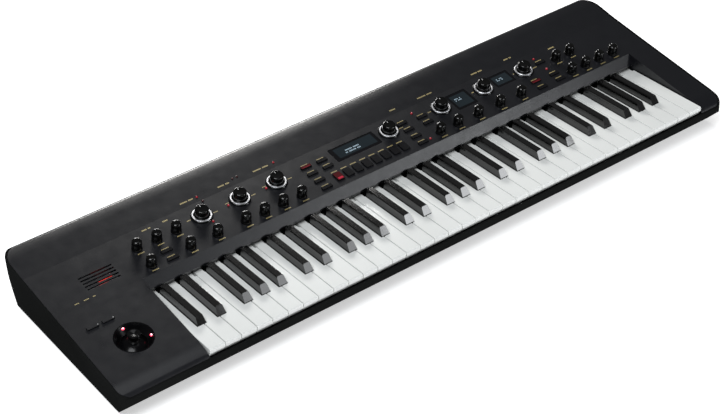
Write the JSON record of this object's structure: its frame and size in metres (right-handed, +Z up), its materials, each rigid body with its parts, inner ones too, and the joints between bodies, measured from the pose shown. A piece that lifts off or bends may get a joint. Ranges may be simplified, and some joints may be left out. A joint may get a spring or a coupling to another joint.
{
  "type": "synthesizer keyboard",
  "caption": "Keyboard synthesizer with piano-style keys, a sloped panel of knobs, buttons and displays, a joystick in a dish and a valve behind a slotted window.",
  "frame": {"origin": "on the table, under the middle of the case", "axes": "+X to the player's right along the keys, +Y from the player to the back, +Z up"},
  "size_m": [0.997, 0.294, 0.0935],
  "materials": {
    "case_plastic": "fine texture",
    "panel_metal": "satin",
    "chassis_metal": "plain",
    "board": "smooth",
    "window_plastic": "gloss",
    "dark_plastic": "semi-gloss",
    "valve_glass": "clear",
    "socket_plastic": "smooth",
    "button_plastic": "smooth",
    "foot_rubber": "matt",
    "screw_steel": "plain",
    "white_key": "gloss",
    "black_key": "semi-gloss",
    "knob_plastic": "gloss"
  },
  "bodies": {
    "case": {"bottom_case": "case_plastic", "top_panel": "panel_metal", "keybed_frame": "chassis_metal", "key_contact_board": "board", "main_board": "board", "panel_board": "board", "display_windows": "window_plastic", "joystick_cup": "dark_plastic", "valve": "valve_glass", "valve_bracket": "chassis_metal", "rear_sockets": "socket_plastic", "feet": "foot_rubber", "screws": "screw_steel"},
    "joystick_gimbal": {"joystick_gimbal": "chassis_metal"},
    "joystick_stick": {"joystick_stick": "dark_plastic", "joystick_cap": "dark_plastic"},
    "power_switch": {"power_switch": "dark_plastic"},
    "category_buttons": {"category_buttons": "button_plastic"},
    "function_buttons": {"function_buttons": "button_plastic"},
    "assign_buttons": {"assign_buttons": "button_plastic"},
    "keys_c": {"keys_c": "white_key"},
    "keys_c_sharp": {"keys_c_sharp": "black_key"},
    "keys_d": {"keys_d": "white_key"},
    "keys_d_sharp": {"keys_d_sharp": "black_key"},
    "keys_e": {"keys_e": "white_key"},
    "keys_f": {"keys_f": "white_key"},
    "keys_f_sharp": {"keys_f_sharp": "black_key"},
    "keys_g": {"keys_g": "white_key"},
    "keys_g_sharp": {"keys_g_sharp": "black_key"},
    "keys_a": {"keys_a": "white_key"},
    "keys_a_sharp": {"keys_a_sharp": "black_key"},
    "keys_b": {"keys_b": "white_key"},
    "volume_knob": {"volume_knob": "knob_plastic"},
    "drive_knob": {"drive_knob": "knob_plastic"},
    "speed_knob": {"speed_knob": "knob_plastic"},
    "tempo_knob": {"tempo_knob": "knob_plastic"},
    "gate_knob": {"gate_knob": "knob_plastic"},
    "effect_knob_1": {"effect_knob_1": "knob_plastic"},
    "effect_knob_2": {"effect_knob_2": "knob_plastic"},
    "effect_knob_3": {"effect_knob_3": "knob_plastic"},
    "effect_knob_4": {"effect_knob_4": "knob_plastic"},
    "effect_knob_5": {"effect_knob_5": "knob_plastic"},
    "oscillator_knob_1": {"oscillator_knob_1": "knob_plastic"},
    "oscillator_knob_2": {"oscillator_knob_2": "knob_plastic"},
    "oscillator_knob_3": {"oscillator_knob_3": "knob_plastic"},
    "filter_knob_1": {"filter_knob_1": "knob_plastic"},
    "filter_knob_2": {"filter_knob_2": "knob_plastic"},
    "envelope_knob_1": {"envelope_knob_1": "knob_plastic"},
    "envelope_knob_2": {"envelope_knob_2": "knob_plastic"},
    "envelope_knob_3": {"envelope_knob_3": "knob_plastic"},
    "envelope_knob_4": {"envelope_knob_4": "knob_plastic"},
    "envelope_knob_5": {"envelope_knob_5": "knob_plastic"},
    "envelope_knob_6": {"envelope_knob_6": "knob_plastic"},
    "effect_selector_1": {"effect_selector_1": "knob_plastic"},
    "effect_selector_2": {"effect_selector_2": "knob_plastic"},
    "effect_selector_3": {"effect_selector_3": "knob_plastic"},
    "oscillator_selector": {"oscillator_selector": "knob_plastic"},
    "filter_selector": {"filter_selector": "knob_plastic"},
    "amplifier_selector": {"amplifier_selector": "knob_plastic"},
    "value_dial": {"value_dial": "knob_plastic"}
  },
  "joints": [
    {"name": "keys_c_hinge", "type": "hinge", "parent": "case", "child": "keys_c", "pos_m": [0, 0.0405, 0.04], "axis": [1, 0, 0], "range_deg": [0, 3.1], "stiffness_Nm_per_rad": 6, "springref_deg": -6.88},
    {"name": "keys_c_sharp_hinge", "type": "hinge", "parent": "case", "child": "keys_c_sharp", "pos_m": [0, 0.0405, 0.04], "axis": [1, 0, 0], "range_deg": [0, 3.1], "stiffness_Nm_per_rad": 6, "springref_deg": -6.88},
    {"name": "keys_d_hinge", "type": "hinge", "parent": "case", "child": "keys_d", "pos_m": [0, 0.0405, 0.04], "axis": [1, 0, 0], "range_deg": [0, 3.1], "stiffness_Nm_per_rad": 6, "springref_deg": -6.88},
    {"name": "keys_d_sharp_hinge", "type": "hinge", "parent": "case", "child": "keys_d_sharp", "pos_m": [0, 0.0405, 0.04], "axis": [1, 0, 0], "range_deg": [0, 3.1], "stiffness_Nm_per_rad": 6, "springref_deg": -6.88},
    {"name": "keys_e_hinge", "type": "hinge", "parent": "case", "child": "keys_e", "pos_m": [0, 0.0405, 0.04], "axis": [1, 0, 0], "range_deg": [0, 3.1], "stiffness_Nm_per_rad": 6, "springref_deg": -6.88},
    {"name": "keys_f_hinge", "type": "hinge", "parent": "case", "child": "keys_f", "pos_m": [0, 0.0405, 0.04], "axis": [1, 0, 0], "range_deg": [0, 3.1], "stiffness_Nm_per_rad": 6, "springref_deg": -6.88},
    {"name": "keys_f_sharp_hinge", "type": "hinge", "parent": "case", "child": "keys_f_sharp", "pos_m": [0, 0.0405, 0.04], "axis": [1, 0, 0], "range_deg": [0, 3.1], "stiffness_Nm_per_rad": 6, "springref_deg": -6.88},
    {"name": "keys_g_hinge", "type": "hinge", "parent": "case", "child": "keys_g", "pos_m": [0, 0.0405, 0.04], "axis": [1, 0, 0], "range_deg": [0, 3.1], "stiffness_Nm_per_rad": 6, "springref_deg": -6.88},
    {"name": "keys_g_sharp_hinge", "type": "hinge", "parent": "case", "child": "keys_g_sharp", "pos_m": [0, 0.0405, 0.04], "axis": [1, 0, 0], "range_deg": [0, 3.1], "stiffness_Nm_per_rad": 6, "springref_deg": -6.88},
    {"name": "keys_a_hinge", "type": "hinge", "parent": "case", "child": "keys_a", "pos_m": [0, 0.0405, 0.04], "axis": [1, 0, 0], "range_deg": [0, 3.1], "stiffness_Nm_per_rad": 6, "springref_deg": -6.88},
    {"name": "keys_a_sharp_hinge", "type": "hinge", "parent": "case", "child": "keys_a_sharp", "pos_m": [0, 0.0405, 0.04], "axis": [1, 0, 0], "range_deg": [0, 3.1], "stiffness_Nm_per_rad": 6, "springref_deg": -6.88},
    {"name": "keys_b_hinge", "type": "hinge", "parent": "case", "child": "keys_b", "pos_m": [0, 0.0405, 0.04], "axis": [1, 0, 0], "range_deg": [0, 3.1], "stiffness_Nm_per_rad": 6, "springref_deg": -6.88},
    {"name": "volume_knob_turn", "type": "hinge", "parent": "case", "child": "volume_knob", "pos_m": [-0.35, 0.0535, 0.07749], "axis": [0, -0.1695, 0.9855], "range_deg": [-150, 150]},
    {"name": "drive_knob_turn", "type": "hinge", "parent": "case", "child": "drive_knob", "pos_m": [-0.3205, 0.0535, 0.07749], "axis": [0, -0.1695, 0.9855], "range_deg": [-150, 150]},
    {"name": "speed_knob_turn", "type": "hinge", "parent": "case", "child": "speed_knob", "pos_m": [-0.2915, 0.0535, 0.07749], "axis": [0, -0.1695, 0.9855], "range_deg": [-150, 150]},
    {"name": "tempo_knob_turn", "type": "hinge", "parent": "case", "child": "tempo_knob", "pos_m": [-0.3505, 0.0195, 0.07164], "axis": [0, -0.1695, 0.9855], "range_deg": [-150, 150]},
    {"name": "gate_knob_turn", "type": "hinge", "parent": "case", "child": "gate_knob", "pos_m": [-0.292, 0.0195, 0.07164], "axis": [0, -0.1695, 0.9855], "range_deg": [-150, 150]},
    {"name": "effect_knob_1_turn", "type": "hinge", "parent": "case", "child": "effect_knob_1", "pos_m": [-0.251, 0.0195, 0.07164], "axis": [0, -0.1695, 0.9855], "range_deg": [-150, 150]},
    {"name": "effect_knob_2_turn", "type": "hinge", "parent": "case", "child": "effect_knob_2", "pos_m": [-0.2075, 0.0195, 0.07164], "axis": [0, -0.1695, 0.9855], "range_deg": [-150, 150]},
    {"name": "effect_knob_3_turn", "type": "hinge", "parent": "case", "child": "effect_knob_3", "pos_m": [-0.1785, 0.0195, 0.07164], "axis": [0, -0.1695, 0.9855], "range_deg": [-150, 150]},
    {"name": "effect_knob_4_turn", "type": "hinge", "parent": "case", "child": "effect_knob_4", "pos_m": [-0.149, 0.0195, 0.07164], "axis": [0, -0.1695, 0.9855], "range_deg": [-150, 150]},
    {"name": "effect_knob_5_turn", "type": "hinge", "parent": "case", "child": "effect_knob_5", "pos_m": [-0.1195, 0.0195, 0.07164], "axis": [0, -0.1695, 0.9855], "range_deg": [-150, 150]},
    {"name": "oscillator_knob_1_turn", "type": "hinge", "parent": "case", "child": "oscillator_knob_1", "pos_m": [0.1145, 0.0195, 0.07164], "axis": [0, -0.1695, 0.9855], "range_deg": [-150, 150]},
    {"name": "oscillator_knob_2_turn", "type": "hinge", "parent": "case", "child": "oscillator_knob_2", "pos_m": [0.1455, 0.0195, 0.07164], "axis": [0, -0.1695, 0.9855], "range_deg": [-150, 150]},
    {"name": "oscillator_knob_3_turn", "type": "hinge", "parent": "case", "child": "oscillator_knob_3", "pos_m": [0.182, 0.0195, 0.07164], "axis": [0, -0.1695, 0.9855], "range_deg": [-150, 150]},
    {"name": "filter_knob_1_turn", "type": "hinge", "parent": "case", "child": "filter_knob_1", "pos_m": [0.222, 0.0195, 0.07164], "axis": [0, -0.1695, 0.9855], "range_deg": [-150, 150]},
    {"name": "filter_knob_2_turn", "type": "hinge", "parent": "case", "child": "filter_knob_2", "pos_m": [0.2605, 0.0195, 0.07164], "axis": [0, -0.1695, 0.9855], "range_deg": [-150, 150]},
    {"name": "envelope_knob_1_turn", "type": "hinge", "parent": "case", "child": "envelope_knob_1", "pos_m": [0.3565, 0.0535, 0.07749], "axis": [0, -0.1695, 0.9855], "range_deg": [-150, 150]},
    {"name": "envelope_knob_2_turn", "type": "hinge", "parent": "case", "child": "envelope_knob_2", "pos_m": [0.383, 0.0535, 0.07749], "axis": [0, -0.1695, 0.9855], "range_deg": [-150, 150]},
    {"name": "envelope_knob_3_turn", "type": "hinge", "parent": "case", "child": "envelope_knob_3", "pos_m": [0.3565, 0.0195, 0.07164], "axis": [0, -0.1695, 0.9855], "range_deg": [-150, 150]},
    {"name": "envelope_knob_4_turn", "type": "hinge", "parent": "case", "child": "envelope_knob_4", "pos_m": [0.383, 0.0195, 0.07164], "axis": [0, -0.1695, 0.9855], "range_deg": [-150, 150]},
    {"name": "envelope_knob_5_turn", "type": "hinge", "parent": "case", "child": "envelope_knob_5", "pos_m": [0.4095, 0.0195, 0.07164], "axis": [0, -0.1695, 0.9855], "range_deg": [-150, 150]},
    {"name": "envelope_knob_6_turn", "type": "hinge", "parent": "case", "child": "envelope_knob_6", "pos_m": [0.436, 0.0195, 0.07164], "axis": [0, -0.1695, 0.9855], "range_deg": [-150, 150]},
    {"name": "effect_selector_1_turn", "type": "hinge", "parent": "case", "child": "effect_selector_1", "pos_m": [-0.2492, 0.0585, 0.07835], "axis": [0, -0.1695, 0.9855], "range_deg": [-150, 150]},
    {"name": "effect_selector_2_turn", "type": "hinge", "parent": "case", "child": "effect_selector_2", "pos_m": [-0.1902, 0.0585, 0.07835], "axis": [0, -0.1695, 0.9855], "range_deg": [-150, 150]},
    {"name": "effect_selector_3_turn", "type": "hinge", "parent": "case", "child": "effect_selector_3", "pos_m": [-0.1318, 0.0585, 0.07835], "axis": [0, -0.1695, 0.9855], "range_deg": [-150, 150]},
    {"name": "oscillator_selector_turn", "type": "hinge", "parent": "case", "child": "oscillator_selector", "pos_m": [0.1472, 0.0585, 0.07835], "axis": [0, -0.1695, 0.9855], "range_deg": [-150, 150]},
    {"name": "filter_selector_turn", "type": "hinge", "parent": "case", "child": "filter_selector", "pos_m": [0.2245, 0.0585, 0.07835], "axis": [0, -0.1695, 0.9855], "range_deg": [-150, 150]},
    {"name": "amplifier_selector_turn", "type": "hinge", "parent": "case", "child": "amplifier_selector", "pos_m": [0.2995, 0.0585, 0.07835], "axis": [0, -0.1695, 0.9855], "range_deg": [-150, 150]},
    {"name": "value_dial_turn", "type": "hinge", "parent": "case", "child": "value_dial", "pos_m": [0.0553, 0.0585, 0.07835], "axis": [0, -0.1695, 0.9855], "continuous": true},
    {"name": "category_buttons_press", "type": "slide", "parent": "case", "child": "category_buttons", "axis": [0, 0.1695, -0.9855], "range_m": [0, 0.0012], "stiffness_N_per_m": 1500, "springref_m": -0.0006},
    {"name": "function_buttons_press", "type": "slide", "parent": "case", "child": "function_buttons", "axis": [0, 0.1695, -0.9855], "range_m": [0, 0.0012], "stiffness_N_per_m": 1500, "springref_m": -0.0006},
    {"name": "assign_buttons_press", "type": "slide", "parent": "case", "child": "assign_buttons", "axis": [0, 0.1644, -0.9864], "range_m": [0, 0.0012], "stiffness_N_per_m": 1500, "springref_m": -0.0006},
    {"name": "joystick_fore_aft", "type": "hinge", "parent": "case", "child": "joystick_gimbal", "pos_m": [-0.4335, -0.06641, 0.02583], "axis": [1, 0, 0], "range_deg": [-15, 15], "stiffness_Nm_per_rad": 0.3},
    {"name": "joystick_side", "type": "hinge", "parent": "joystick_gimbal", "child": "joystick_stick", "pos_m": [-0.4335, -0.06641, 0.02583], "axis": [0, 0.9864, 0.1644], "range_deg": [-15, 15], "stiffness_Nm_per_rad": 0.3},
    {"name": "power_switch_rock", "type": "hinge", "parent": "case", "child": "power_switch", "pos_m": [0.3255, 0.1379, 0.028], "axis": [1, 0, 0], "range_deg": [0, 16]}
  ]
}
